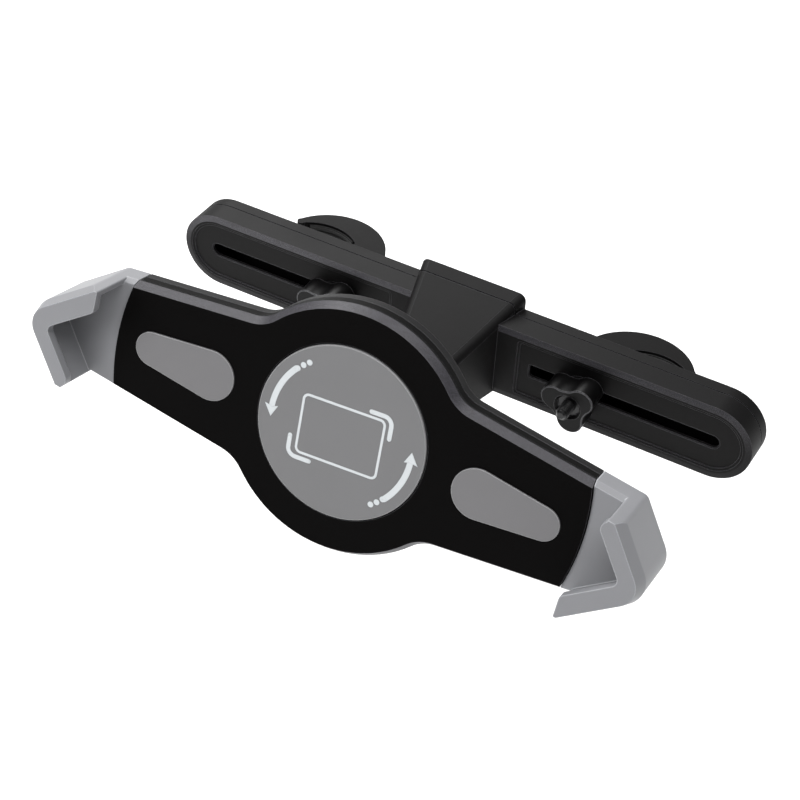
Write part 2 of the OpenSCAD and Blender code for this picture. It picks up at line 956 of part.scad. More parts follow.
module cradle_front() {
    groove = 0.25;
    crease = cradle_bevel_d + 0.6;
    color("#1c1b1d")
    cradle_frame()
        difference() {
            union() {
                translate([0, 0, split_w])
                    linear_extrude(height = seam)
                        cradle_outline(seam, arm_reach);
                translate([0, 0, split_w + seam])
                    linear_extrude(height = -crease - groove - split_w - seam)
                        cradle_outline(0, arm_reach);
                translate([0, 0, -crease - groove - 0.1])
                    linear_extrude(height = groove + 0.2)
                        cradle_outline(groove, arm_reach);
                difference() {
                    translate([0, 0, -crease])
                        linear_extrude(height = crease)
                            cradle_outline(0, arm_reach);
                    cradle_bevel(0);
                }
            }
            difference() {
                translate([0, 0, split_w - 1])
                    linear_extrude(height = inner_top - split_w + 1)
                        cradle_outline(cradle_wall, arm_reach - cradle_wall);
                cradle_screw_spots()
                    translate([0, 0, split_w])
                        cylinder(r = 2.6, h = 8);
                translate([0, -20.5, split_w + 2])
                    cylinder(r = 1.6, h = 8, $fn = 24);
            }
            translate([-100, -tongue_half - slide_gap, split_w - 1])
                cube([200, 2 * (tongue_half + slide_gap), tongue_top + 0.3 - split_w + 1]);
            translate([0, 0, -disc_pocket()])
                cylinder(r = disc_r + 0.45, h = 5, $fn = 128);
            translate([0, 0, -8])
                cylinder(r = post_r + 0.05, h = 10);
            for (s = [0, 1])
                rotate([0, 0, 180 * s])
                    translate([0, 0, -0.8])
                        linear_extrude(height = 2)
                            pad_outline(0.15);
            cradle_screw_spots()
                translate([0, 0, split_w - 1])
                    cylinder(r = 1.1, h = 6, $fn = 24);
        }
}

module cradle_back() {
    color("#222124")
    cradle_frame()
        difference() {
            union() {
                difference() {
                    translate([0, 0, -cradle_t])
                        linear_extrude(height = split_w + cradle_t)
                            cradle_outline(0, arm_reach);
                    translate([0, 0, inner_bottom])
                        linear_extrude(height = 5)
                            cradle_outline(cradle_wall, arm_reach - cradle_wall);
                }
                cradle_screw_spots()
                    translate([0, 0, -cradle_t])
                        cylinder(r = 3, h = split_w + cradle_t);
            }
            translate([-100, -tongue_half - slide_gap, inner_bottom])
                cube([200, 2 * (tongue_half + slide_gap), 5]);
            translate([0, 0, -cradle_t - 1])
                cylinder(r = post_r + 0.05, h = 10);
            cradle_screw_spots() {
                translate([0, 0, -cradle_t - 1])
                    cylinder(r = 1.5, h = 8, $fn = 24);
                translate([0, 0, -cradle_t - 0.01])
                    cylinder(r1 = 2.9, r2 = 1.5, h = 1.5, $fn = 32);
            }
        }
}

module cradle_screws() {
    color("#55565a")
    cradle_frame()
        cradle_screw_spots()
            translate([0, 0, -cradle_t + 0.15])
                self_tapper(7.5);
}

module grip_pad() {
    translate([0, 0, -0.8])
        linear_extrude(height = 0.8 + pad_proud)
            pad_outline(0);
}

module right_grip_pad() {
    color("#8c8c8e")
    cradle_frame()
        grip_pad();
}

module left_grip_pad() {
    color("#8c8c8e")
    cradle_frame()
        rotate([0, 0, 180])
            grip_pad();
}

// Gear tooth flanks are true involutes with a 20 degree pressure angle
function tooth_half(r) =
    let (base = pinion_r * cos(20), at = r <= base ? 0 : acos(base / r))
    ((PI * module_mm / 2 - tooth_play) / (2 * pinion_r) + involute(20) - involute(at)) * 180 / PI;

module gear_outline() {
    root = pinion_r - 1.05 * module_mm;
    tip = pinion_r + module_mm;
    base = pinion_r * cos(20);
    steps = 5;
    levels = concat([root], [for (i = [0:steps]) base + (tip - base) * i / steps]);
    flank = [for (r = levels) [r, tooth_half(r)]];
    back = [for (i = [len(flank) - 1:-1:0]) flank[i]];
    polygon([for (t = [0:pinion_teeth - 1]) for (p = concat([for (f = flank) [f[0], -f[1]]], back))
        p[0] * [cos(p[1] + t * 360 / pinion_teeth), sin(p[1] + t * 360 / pinion_teeth)]]);
}

module pinion() {
    color("#d8d4c4")
    cradle_frame()
        difference() {
            union() {
                translate([0, 0, tongue_bottom])
                    linear_extrude(height = gear_top - tongue_bottom)
                        gear_outline();
                translate([0, 0, gear_top - 0.01])
                    cylinder(r = 6.2, h = inner_top - 0.25 - gear_top);
            }
            translate([0, 0, -15])
                cylinder(r = post_r + 0.05, h = 20);
        }
}

module return_spring() {
    turns = 4;
    n = 96;
    start = 6.75;
    pitch = 2.9;
    thick = 0.5;
    inside = [for (i = [0:n]) let (a = turns * 360 * i / n, r = start + pitch * a / 360) r * [cos(a), sin(a)]];
    outside = [for (i = [n:-1:0]) let (a = turns * 360 * i / n, r = start + thick + pitch * a / 360) r * [cos(a), sin(a)]];
    color("#6c6f75")
    cradle_frame()
        translate([0, 0, gear_top + 0.2])
            rotate([0, 0, -90])
                linear_extrude(height = inner_top - gear_top - 0.45)
                    polygon(concat(inside, outside));
}

// Rack bar with teeth on its lower side, pitch line at y = pinion_r
module rack_outline(from, to) {
    p = PI * module_mm;
    add = 0.8 * module_mm;
    ded = 1.2 * module_mm;
    half = (p / 2 - tooth_play) / 2;
    first = ceil((from + 1) / p - 0.5);
    last = floor((to - 1) / p - 0.5);
    translate([from, pinion_r + ded])
        square([to - from, 3.5]);
    for (i = [first:last])
        translate([(i + 0.5) * p, pinion_r])
            polygon([
                [-half - ded * tan(20), ded + 0.01], [-half + add * tan(20), -add],
                [half - add * tan(20), -add], [half + ded * tan(20), ded + 0.01]
            ]);
}

// Jaw outline and corners, worked out for the right jaw
jaw_v = [jaw_x, jaw_y];
jaw_long = -[cos(jaw_angle), sin(jaw_angle)];
jaw_short = [-sin(jaw_angle), cos(jaw_angle)];
// inward normals of the long and the short wall
jaw_in_long = [-sin(jaw_angle), cos(jaw_angle)];
jaw_in_short = -[cos(jaw_angle), sin(jaw_angle)];

// Point where a line leaves through the arm's upper or lower edge line
function to_top(p, d) = p + d * (arm_half - arm_taper * p[0] - p[1]) / (d[1] + arm_taper * d[0]);
function to_bottom(p, d) = p + d * (-arm_half + arm_taper * p[0] - p[1]) / (d[1] - arm_taper * d[0]);
function to_end(p, d) = p + d * (lip_end_x - p[0]) / d[0];

function inner_corner(long_w, short_w) = jaw_v + long_w * jaw_in_long + short_w * jaw_in_short;

function jaw_profile(long_w, short_w) = [
    [lip_end_x, -arm_edge(lip_end_x)],
    to_bottom(jaw_v, jaw_long),
    jaw_v,
    to_top(jaw_v, jaw_short),
    to_top(inner_corner(long_w, short_w), jaw_short),
    inner_corner(long_w, short_w),
    to_end(inner_corner(long_w, short_w), jaw_long)
];

module jaw_floor_outline() {
    inner = arm_reach - 9.6;
    difference() {
        polygon(rounded([
            [inner, -arm_edge(inner)], to_bottom(jaw_v, jaw_long), jaw_v,
            to_top(jaw_v, jaw_short), [inner, arm_edge(inner)]
        ], [0, 5, 0, 3, 0]));
        circle(arm_reach + slide_gap, $fn = 200);
    }
}

// Rounds the jaw's outer corner and bevels the lip's outer edge
module jaw_edge_cuts() {
    slope = lip_bevel_w / lip_bevel_d;
    middle = jaw_v + jaw_round * (jaw_in_long + jaw_in_short);
    translate([middle[0], middle[1], lip_front])
        rotate([0, 0, jaw_angle - 90])
            rotate_extrude(angle = 90, $fn = 128)
                polygon([
                    [jaw_round - lip_bevel_w - slope, 1], [jaw_round, -lip_bevel_d],
                    [jaw_round, -lip_front - cradle_t - 1], [jaw_round + 6, -lip_front - cradle_t - 1],
                    [jaw_round + 6, 1]
                ]);
    edge_cut(jaw_v + jaw_long * 60, jaw_angle, 60 - jaw_round, lip_bevel_w, lip_bevel_d, lip_front);
    edge_cut(jaw_v + jaw_short * jaw_round, 90 + jaw_angle, 60, lip_bevel_w, lip_bevel_d, lip_front);
}

module jaw() {
    a = arm_angle();
    w = cradle_bevel_w;
    d = cradle_bevel_d;
    difference() {
        union() {
            difference() {
                translate([0, 0, -cradle_t])
                    linear_extrude(height = cradle_t - jaw_floor)
                        jaw_floor_outline();
                edge_cut([120, arm_edge(120)], 180 - a, 60, w, d, 0);
                mirror([0, 1, 0])
                    edge_cut([120, arm_edge(120)], 180 - a, 60, w, d, 0);
            }
            translate([0, 0, -cradle_t])
                linear_extrude(height = cradle_t + lip_front)
                    polygon(rounded(jaw_profile(jaw_wall, jaw_wall), [0.5, 5, 0, 3, 0.5, 2.5, 0.5]));
            translate([0, 0, lip_front - lip_t])
                linear_extrude(height = lip_t)
                    polygon(rounded(jaw_profile(lip_long, lip_short), [0.8, 5, 0, 3, 3, 2.5, 2]));
        }
        jaw_edge_cuts();
    }
    // tongue inside the arm, with a channel for the other jaw's rack
    difference() {
        translate([tongue_start, -tongue_half, tongue_bottom])
            cube([arm_reach + 1.5 - tongue_start, 2 * tongue_half, tongue_top - tongue_bottom]);
        translate([tongue_start - 6, pinion_r - 1.2 * module_mm, tongue_bottom - 1])
            cube([22, 6.5, gear_top - tongue_bottom + 1.4]);
    }
    rotate([0, 0, 180])
        translate([0, 0, tongue_bottom])
            linear_extrude(height = gear_top - tongue_bottom - 0.3)
                rack_outline(-40, 44);
}

module right_jaw() {
    color("#9fa1a6")
    cradle_frame()
        jaw();
}

module left_jaw() {
    color("#9fa1a6")
    cradle_frame()
        rotate([0, 0, 180])
            jaw();
}

rail_front();
rail_back();
rail_screws();
ball_stud();
ball_stud_nut();
left_slot_bush();
left_knob();
left_knob_nut();
left_hook();
left_hook_pad();
left_clamp_bolt();
right_slot_bush();
right_knob();
right_knob_nut();
right_hook();
right_hook_pad();
right_clamp_bolt();
socket_liner();
hub_socket();
socket_ring();
friction_washer();
hub_plate();
hub_screw();
center_disc();
cradle_front();
cradle_back();
cradle_screws();
left_grip_pad();
right_grip_pad();
pinion();
return_spring();
left_jaw();
right_jaw();
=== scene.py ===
"""Headrest tablet mount: finishes, threads, printed marks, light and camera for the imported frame."""

import json
import logging
import math
from dataclasses import dataclass, field
from enum import Enum
from typing import Optional, Sequence

import bmesh
import bpy
from mathutils import Matrix, Vector

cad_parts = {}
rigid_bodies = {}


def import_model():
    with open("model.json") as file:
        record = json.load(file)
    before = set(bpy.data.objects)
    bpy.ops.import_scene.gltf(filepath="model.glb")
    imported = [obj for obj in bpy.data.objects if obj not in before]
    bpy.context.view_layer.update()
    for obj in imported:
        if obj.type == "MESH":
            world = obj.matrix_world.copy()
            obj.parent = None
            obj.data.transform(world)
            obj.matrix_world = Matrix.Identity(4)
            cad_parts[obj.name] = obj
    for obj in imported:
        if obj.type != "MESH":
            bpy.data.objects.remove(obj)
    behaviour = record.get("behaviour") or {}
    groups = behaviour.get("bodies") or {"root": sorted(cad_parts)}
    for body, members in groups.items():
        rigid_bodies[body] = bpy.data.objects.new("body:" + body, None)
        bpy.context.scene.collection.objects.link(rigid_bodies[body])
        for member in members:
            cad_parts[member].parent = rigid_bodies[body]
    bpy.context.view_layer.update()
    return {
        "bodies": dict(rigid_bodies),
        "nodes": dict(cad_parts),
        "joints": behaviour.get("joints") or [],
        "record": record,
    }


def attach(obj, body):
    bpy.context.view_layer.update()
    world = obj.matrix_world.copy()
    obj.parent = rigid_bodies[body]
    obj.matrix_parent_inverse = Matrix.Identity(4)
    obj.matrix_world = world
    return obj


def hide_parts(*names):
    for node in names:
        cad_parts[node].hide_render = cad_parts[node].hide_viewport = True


LOG = logging.getLogger("tablet_mount")
MM = 0.001
FLOAT = "NodeSocketFloat"
GEOMETRY = "NodeSocketGeometry"
MATERIAL = "NodeSocketMaterial"
GLINT_COLOUR = (0.32, 0.31, 0.36, 1.0)
GROOVE_SHADE = (0.0006, 0.0006, 0.0006, 1.0)


class Side(Enum):
    """The two ends of the mount, as seen from the tablet's side."""

    LEFT = "left"
    RIGHT = "right"


class Zone(Enum):
    """Where a finish has its brighter, sparkling bevel."""

    NONE = 0
    RAIL_BEVEL = 1
    CRADLE_BEVEL = 2


@dataclass(frozen=True)
class Axes:
    """A sub-assembly's own frame, in metres of the row frame."""

    origin: Vector
    right: Vector
    up: Vector
    out: Vector

    def at(self, x: float, y: float, z: float) -> Vector:
        """Turns millimetres of this frame into a point of the row frame.

        Args:
            x: distance to the right.
            y: distance up.
            z: distance out of the front.

        Returns:
            The point in metres.
        """
        return self.origin + (self.right * x + self.up * y + self.out * z) * MM


@dataclass(frozen=True)
class Layout:
    """Sizes and slants shared with the solids, in millimetres and degrees."""

    ball: tuple = (0.0, -74.5, 9.94)
    yaw: float = 3.8
    slant: float = 17.1
    roll: float = -4.6
    depth: float = 24.5
    disc_top: float = 0.6

    def hub(self) -> Axes:
        """Frame of the hub, whose face is at zero.

        Returns:
            The frame.
        """
        yaw = Matrix.Rotation(math.radians(self.yaw), 3, "Z")
        turn = yaw @ Matrix.Rotation(math.radians(90 - self.slant), 3, "X")
        out = turn @ Vector((0, 0, 1))
        start = Vector(self.ball) * MM + out * self.depth * MM
        return Axes(start, turn @ Vector((1, 0, 0)), turn @ Vector((0, 1, 0)), out)

    def cradle(self) -> Axes:
        """Frame of the cradle, turned in the hub's frame.

        Returns:
            The frame.
        """
        hub = self.hub()
        turn = Matrix.Rotation(math.radians(self.roll), 3, hub.out)
        return Axes(hub.origin, turn @ hub.right, turn @ hub.up, hub.out)


class NodeDesk:
    """Lays nodes and links them, so that a tree reads as a short list of steps."""

    def __init__(self, tree: bpy.types.NodeTree) -> None:
        """Keeps the tree.

        Args:
            tree: the node tree to fill.
        """
        self.tree = tree

    @classmethod
    def start(cls, name: str, kind: str, inputs: Sequence[tuple], outputs: Sequence[tuple]) -> tuple:
        """Starts a node group with its inputs and outputs.

        Args:
            name: the group's name.
            kind: ShaderNodeTree or GeometryNodeTree.
            inputs: name, socket type and default value (None for a socket without one) of each input.
            outputs: name and socket type of each output.

        Returns:
            The desk, the group's input node and its output node.
        """
        tree = bpy.data.node_groups.new(name, kind)
        for label, socket_type, value in inputs:
            socket = tree.interface.new_socket(label, in_out="INPUT", socket_type=socket_type)
            if value is not None:
                socket.default_value = value
        for label, socket_type in outputs:
            tree.interface.new_socket(label, in_out="OUTPUT", socket_type=socket_type)
        desk = cls(tree)
        return desk, desk.put("NodeGroupInput"), desk.put("NodeGroupOutput")

    def put(self, kind: str, **values: object) -> bpy.types.Node:
        """Adds a node.

        Args:
            kind: the node's type.
            values: attributes to set on it.

        Returns:
            The new node.
        """
        node = self.tree.nodes.new(kind)
        for name, value in values.items():
            setattr(node, name, value)
        return node

    def feed(self, socket: bpy.types.NodeSocket, value: object) -> None:
        """Links a socket or sets its value.

        Args:
            socket: the input.
            value: an output socket, or a plain value.
        """
        if isinstance(value, bpy.types.NodeSocket):
            self.tree.links.new(value, socket)
        else:
            socket.default_value = value

    def math(self, op: str, a: object, b: object = 0.0, clamp: bool = False) -> bpy.types.NodeSocket:
        """Adds a Math node.

        Args:
            op: its operation.
            a: first input.
            b: second input.
            clamp: whether the result stays within 0 and 1.

        Returns:
            Its output.
        """
        node = self.put("ShaderNodeMath", operation=op, use_clamp=clamp)
        self.feed(node.inputs[0], a)
        self.feed(node.inputs[1], b)
        return node.outputs[0]

    def span(self, value: object, low: float, high: float) -> bpy.types.NodeSocket:
        """Maps low to 0 and high to 1, clamped.

        Args:
            value: the input.
            low: input that gives 0.
            high: input that gives 1.

        Returns:
            The mapped value.
        """
        node = self.put("ShaderNodeMapRange")
        self.feed(node.inputs["Value"], value)
        node.inputs["From Min"].default_value = low
        node.inputs["From Max"].default_value = high
        return node.outputs["Result"]

    def mix(self, factor: object, a: object, b: object) -> bpy.types.NodeSocket:
        """Mixes two colours.

        Args:
            factor: share of the second.
            a: first colour.
            b: second colour.

        Returns:
            The mixed colour.
        """
        node = self.put("ShaderNodeMix", data_type="RGBA")
        self.feed(node.inputs["Factor"], factor)
        self.feed(node.inputs[6], a)
        self.feed(node.inputs[7], b)
        return node.outputs[2]

    def dot(self, vector: object, direction: Sequence[float]) -> bpy.types.NodeSocket:
        """Share of a vector along a direction.

        Args:
            vector: the vector's socket.
            direction: the fixed direction.

        Returns:
            The dot product.
        """
        node = self.put("ShaderNodeVectorMath", operation="DOT_PRODUCT")
        self.feed(node.inputs[0], vector)
        node.inputs[1].default_value = tuple(direction)
        return node.outputs["Value"]

    def object_place(self) -> bpy.types.NodeSocket:
        """Adds the object's own coordinates."""
        return self.put("ShaderNodeTexCoord").outputs["Object"]

    def object_normal(self) -> bpy.types.NodeSocket:
        """Adds the object's own normal."""
        return self.put("ShaderNodeTexCoord").outputs["Normal"]

    def noise(self, place: bpy.types.NodeSocket, scale: object, detail: float = 2.0) -> bpy.types.NodeSocket:
        """Adds a noise pattern.

        Args:
            place: the coordinates that it reads.
            scale: its scale, a number or a socket.
            detail: how many finer layers it has.

        Returns:
            Its value, about 0 to 1.
        """
        node = self.put("ShaderNodeTexNoise")
        self.feed(node.inputs["Vector"], place)
        self.feed(node.inputs["Scale"], scale)
        node.inputs["Detail"].default_value = detail
        return node.outputs["Fac"]

    def deliver(self, geometry: bpy.types.NodeSocket, source: bpy.types.Node, target: bpy.types.Node) -> None:
        """Ends a geometry tree in Realize Instances and Set Material.

        Args:
            geometry: what the tree has made.
            source: the tree's input node, with a Material input.
            target: the tree's output node.
        """
        real = self.put("GeometryNodeRealizeInstances")
        self.feed(real.inputs["Geometry"], geometry)
        dress = self.put("GeometryNodeSetMaterial")
        self.feed(dress.inputs["Geometry"], real.outputs["Geometry"])
        self.feed(dress.inputs["Material"], source.outputs["Material"])
        self.feed(target.inputs["Geometry"], dress.outputs["Geometry"])


class SharedEffects:
    """Shader groups that several finishes use: moulded grain and painted edge highlights."""

    @staticmethod
    def grain() -> bpy.types.NodeTree:
        """Fine moulded grain with sparse glints.

        Returns:
            A group with a Scale input and Height, Glint and Cloud outputs.
        """
        found = bpy.data.node_groups.get("moulded_grain")
        if found:
            return found
        desk, source, target = NodeDesk.start(
            "moulded_grain", "ShaderNodeTree", [("Scale", FLOAT, 2500.0)],
            [("Height", FLOAT), ("Glint", FLOAT), ("Cloud", FLOAT)])
        place = desk.object_place()
        scale = source.outputs["Scale"]
        pebble = desk.put("ShaderNodeTexVoronoi", feature="F1")
        desk.feed(pebble.inputs["Vector"], place)
        desk.feed(pebble.inputs["Scale"], scale)
        fine = desk.noise(place, desk.math("MULTIPLY", scale, 1.7), 3.0)
        bumps = desk.math("MULTIPLY", pebble.outputs["Distance"], 0.6)
        spark = desk.noise(place, desk.math("MULTIPLY", scale, 2.0), 1.0)
        desk.feed(target.inputs["Height"], desk.math("ADD", bumps, desk.math("MULTIPLY", fine, 0.5)))
        desk.feed(target.inputs["Glint"], desk.span(spark, 0.56, 0.72))
        desk.feed(target.inputs["Cloud"], desk.noise(place, 38.0, 4.0))
        return desk.tree

    @staticmethod
    def painted_edge_highlight() -> bpy.types.NodeTree:
        """Mask of the edges that take a painted highlight, a lighter colour where rounded edges would catch
        the light.

        Returns:
            A group with Width and Broken inputs and a Mask output.
        """
        found = bpy.data.node_groups.get("painted_edge_highlight")
        if found:
            return found
        desk, source, target = NodeDesk.start(
            "painted_edge_highlight", "ShaderNodeTree", [("Width", FLOAT, 0.0003), ("Broken", FLOAT, 0.4)],
            [("Mask", FLOAT)])
        soft = desk.put("ShaderNodeBevel", samples=6)
        desk.feed(soft.inputs["Radius"], source.outputs["Width"])
        plain = desk.put("ShaderNodeNewGeometry")
        turn = desk.put("ShaderNodeVectorMath", operation="DOT_PRODUCT")
        desk.feed(turn.inputs[0], soft.outputs["Normal"])
        desk.feed(turn.inputs[1], plain.outputs["Normal"])
        bend = desk.span(turn.outputs["Value"], 0.995, 0.86)
        gaps = desk.math("MULTIPLY", desk.noise(desk.object_place(), 420.0), source.outputs["Broken"])
        keep = desk.math("SUBTRACT", 1.0, gaps)
        desk.feed(target.inputs["Mask"], desk.math("MULTIPLY", bend, keep, clamp=True))
        return desk.tree


@dataclass(frozen=True)
class RailBevel:
    """The band on the rail's front bevel: its own sparkling finish, with a painted highlight that is
    strongest at the top left, in metres.
    """

    end_x: float = 0.1042
    rim_r: tuple = (0.01325, 0.01335)
    facing: tuple = (0.85, 0.9)
    back_y: tuple = (-0.0141, -0.0142)
    front_y: tuple = (-0.0149, -0.0148)
    rise_z: tuple = (0.0, 0.0125)
    low_share: float = 0.2
    fade_x: tuple = (-0.06, 0.1)
    fade: float = 0.45

    def mask(self, desk: NodeDesk) -> bpy.types.NodeSocket:
        """Mask of the band.

        Args:
            desk: where the nodes go.

        Returns:
            The mask.
        """
        parts = desk.put("ShaderNodeSeparateXYZ")
        desk.feed(parts.inputs[0], desk.object_place())
        x, y, z = (parts.outputs[axis] for axis in "XYZ")
        beyond = desk.math("MAXIMUM", desk.math("SUBTRACT", desk.math("ABSOLUTE", x), self.end_x), 0.0)
        squares = desk.math("ADD", desk.math("MULTIPLY", beyond, beyond), desk.math("MULTIPLY", z, z))
        rim = desk.span(desk.math("SQRT", squares), *self.rim_r)
        facing = desk.span(desk.dot(desk.object_normal(), (0, -1, 0)), *self.facing)
        depth = desk.math("MULTIPLY", desk.span(y, *self.back_y), desk.span(y, *self.front_y))
        band = desk.math("MULTIPLY", desk.math("MULTIPLY", rim, facing), depth)
        # painted highlight: the band is lighter towards the top and towards the left, where the lamps light
        # it
        rise = desk.math("MULTIPLY", desk.span(z, *self.rise_z), 1.0 - self.low_share)
        upper = desk.math("ADD", rise, self.low_share)
        far = desk.math("SUBTRACT", 1.0, desk.math("MULTIPLY", desk.span(x, *self.fade_x), self.fade))
        return desk.math("MULTIPLY", band, desk.math("MULTIPLY", upper, far))


@dataclass(frozen=True)
class CradleSides:
    """The cradle's bevel and flank, found by how far their faces lean from the front."""

    bevel: tuple = (0.35, 0.72)
    blur: float = 0.04
    flank: tuple = (0.3, 0.2)

    @staticmethod
    def lean(desk: NodeDesk) -> bpy.types.NodeSocket:
        """Share of a face's normal along the cradle's axis.

        Args:
            desk: where the nodes go.

        Returns:
            The share.
        """
        return desk.dot(desk.object_normal(), Layout().cradle().out)

    def bevel_mask(self, desk: NodeDesk) -> bpy.types.NodeSocket:
        """Mask of the sparkling bevel.

        Args:
            desk: where the nodes go.

        Returns:
            The mask.
        """
        low, high = self.bevel
        lean = self.lean(desk)
        above = desk.span(lean, low, low + self.blur)
        below = desk.span(lean, high + self.blur, high)
        return desk.math("MULTIPLY", above, below)

    def flank_mask(self, desk: NodeDesk) -> bpy.types.NodeSocket:
        """Mask of the flanks, which shine more than the soft front.

        Args:
            desk: where the nodes go.

        Returns:
            The mask.
        """
        return desk.span(self.lean(desk), *self.flank)


@dataclass
class Masks:
    """Sockets that a finish's colour, roughness and bump depend on."""

    height: bpy.types.NodeSocket
    glint: bpy.types.NodeSocket
    cloud: bpy.types.NodeSocket
    painted_highlight: bpy.types.NodeSocket
    zone: Optional[bpy.types.NodeSocket]
    groove: Optional[bpy.types.NodeSocket]


@dataclass(frozen=True)
class Finish:
    """One moulded, rubber, printed or metal finish, with lengths in metres."""

    name: str
    colour: tuple
    roughness: float = 0.6
    specular: float = 0.3
    metallic: float = 0.0
    grain_scale: float = 5200.0
    grain_depth: float = 0.00002
    glint: float = 0.0
    # the edge colour and share below: painted edge highlight, lighter than the surface, in place of the light
    # that rounded edges catch
    highlight_colour: tuple = (0.2, 0.2, 0.21)
    highlight_share: float = 0.5
    edge_width: float = 0.00028
    zone: Zone = Zone.NONE
    zone_colour: tuple = (0.016, 0.015, 0.018)
    zone_coat: float = 0.55
    zone_roughness: float = 0.42
    zone_glint: float = 0.5
    flank_coat: float = 0.12
    coat_roughness: float = 0.4
    cloud: float = 0.2
    grooves: tuple = ()

    def zone_mask(self, desk: NodeDesk) -> Optional[bpy.types.NodeSocket]:
        """Mask of the sparkling bevel.

        Args:
            desk: where the nodes go.

        Returns:
            The mask, or None where the finish has no such bevel.
        """
        if self.zone is Zone.RAIL_BEVEL:
            return RailBevel().mask(desk)
        if self.zone is Zone.CRADLE_BEVEL:
            return CradleSides().bevel_mask(desk)
        return None

    def groove_mask(self, desk: NodeDesk) -> Optional[bpy.types.NodeSocket]:
        """Mask of the seam and crease lines, which stay in shade.

        Args:
            desk: where the nodes go.

        Returns:
            The mask, or None where the finish has no such lines.
        """
        mask = None
        for direction, low, high in self.grooves:
            along = desk.dot(desk.object_place(), direction)
            above = desk.math("GREATER_THAN", along, low)
            below = desk.math("LESS_THAN", along, high)
            band = desk.math("MULTIPLY", above, below)
            mask = band if mask is None else desk.math("MAXIMUM", mask, band)
        return mask

    def masks(self, desk: NodeDesk) -> Masks:
        """Places the shared effects and this finish's own masks.

        Args:
            desk: where the nodes go.

        Returns:
            The sockets.
        """
        grain = desk.put("ShaderNodeGroup", node_tree=SharedEffects.grain())
        grain.inputs["Scale"].default_value = self.grain_scale
        # painted edge highlight: mask of the edges that are painted lighter, in place of the light they catch
        edge = desk.put("ShaderNodeGroup", node_tree=SharedEffects.painted_edge_highlight())
        edge.inputs["Width"].default_value = self.edge_width
        painted_highlight = desk.math("MULTIPLY", edge.outputs["Mask"], self.highlight_share)
        groove = self.groove_mask(desk)
        if groove is not None:
            painted_highlight = desk.math("MULTIPLY", painted_highlight, desk.math("SUBTRACT", 1.0, groove))
        return Masks(grain.outputs["Height"], grain.outputs["Glint"], grain.outputs["Cloud"], painted_highlight,
                     self.zone_mask(desk), groove)

    def base_colour(self, desk: NodeDesk, masks: Masks) -> bpy.types.NodeSocket:
        """Colour with its clouding, bevel, glints, shaded lines and painted edge highlights.

        Args:
            desk: where the nodes go.
            masks: the finish's masks.

        Returns:
            The colour.
        """
        lighter = tuple(min(1.0, c * (1.0 + self.cloud)) for c in self.colour) + (1.0,)
        colour = desk.mix(desk.span(masks.cloud, 0.35, 0.7), tuple(self.colour) + (1.0,), lighter)
        sparkle = desk.math("MULTIPLY", masks.glint, self.glint)
        if masks.zone is not None:
            colour = desk.mix(masks.zone, colour, tuple(self.zone_colour) + (1.0,))
            bright = desk.math("MULTIPLY", desk.math("MULTIPLY", masks.glint, masks.zone), self.zone_glint)
            sparkle = desk.math("ADD", sparkle, bright)
        colour = desk.mix(sparkle, colour, GLINT_COLOUR)
        if masks.groove is not None:
            colour = desk.mix(masks.groove, colour, GROOVE_SHADE)
        # painted highlight: the edges take the lighter edge colour
        return desk.mix(masks.painted_highlight, colour, tuple(self.highlight_colour) + (1.0,))

    def surface_roughness(self, desk: NodeDesk, masks: Masks) -> bpy.types.NodeSocket:
        """Roughness, a little uneven, lower on the bevel and on the edges with the painted highlight, full in
        the shaded lines.

        Args:
            desk: where the nodes go.
            masks: the finish's masks.

        Returns:
            The roughness.
        """
        rough = desk.math("ADD", desk.math("MULTIPLY", masks.cloud, 0.12), self.roughness - 0.06)
        if masks.zone is not None:
            change = desk.math("MULTIPLY", masks.zone, self.zone_roughness - self.roughness)
            rough = desk.math("ADD", rough, change)
        if masks.groove is not None:
            rough = desk.math("ADD", rough, desk.math("MULTIPLY", masks.groove, 1.0 - self.roughness))
        return desk.math("SUBTRACT", rough, desk.math("MULTIPLY", masks.painted_highlight, 0.2), clamp=True)

    def coat(self, desk: NodeDesk, zone: bpy.types.NodeSocket) -> bpy.types.NodeSocket:
        """Gloss of the bevel, and of the cradle's flanks.

        Args:
            desk: where the nodes go.
            zone: mask of the bevel.

        Returns:
            The coat's weight.
        """
        weight = desk.math("MULTIPLY", zone, self.zone_coat)
        if self.zone is Zone.CRADLE_BEVEL:
            flank = desk.math("MULTIPLY", CradleSides().flank_mask(desk), self.flank_coat)
            weight = desk.math("ADD", weight, flank)
        return weight

    def normal(self, desk: NodeDesk, height: bpy.types.NodeSocket) -> bpy.types.NodeSocket:
        """Normal with the moulded grain, over softly rounded edges.

        Args:
            desk: where the nodes go.
            height: the grain's height.

        Returns:
            The normal.
        """
        rounding = desk.put("ShaderNodeBevel", samples=6)
        rounding.inputs["Radius"].default_value = self.edge_width
        bump = desk.put("ShaderNodeBump")
        bump.inputs["Strength"].default_value = 0.6
        bump.inputs["Distance"].default_value = self.grain_depth
        desk.feed(bump.inputs["Height"], height)
        desk.feed(bump.inputs["Normal"], rounding.outputs["Normal"])
        return bump.outputs["Normal"]

    def build(self) -> bpy.types.Material:
        """Makes the material, once.

        Returns:
            The material with its nodes.
        """
        found = bpy.data.materials.get(self.name)
        if found:
            return found
        material = bpy.data.materials.new(self.name)
        material.use_nodes = True
        material.node_tree.nodes.clear()
        desk = NodeDesk(material.node_tree)
        result = desk.put("ShaderNodeOutputMaterial")
        shader = desk.put("ShaderNodeBsdfPrincipled")
        masks = self.masks(desk)
        desk.feed(shader.inputs["Base Color"], self.base_colour(desk, masks))
        desk.feed(shader.inputs["Roughness"], self.surface_roughness(desk, masks))
        if masks.zone is not None:
            desk.feed(shader.inputs["Coat Weight"], self.coat(desk, masks.zone))
        shader.inputs["Metallic"].default_value = self.metallic
        shader.inputs["Specular IOR Level"].default_value = self.specular
        shader.inputs["Coat Roughness"].default_value = self.coat_roughness
        desk.feed(shader.inputs["Normal"], self.normal(desk, masks.height))
        desk.feed(result.inputs["Surface"], shader.outputs["BSDF"])
        return material


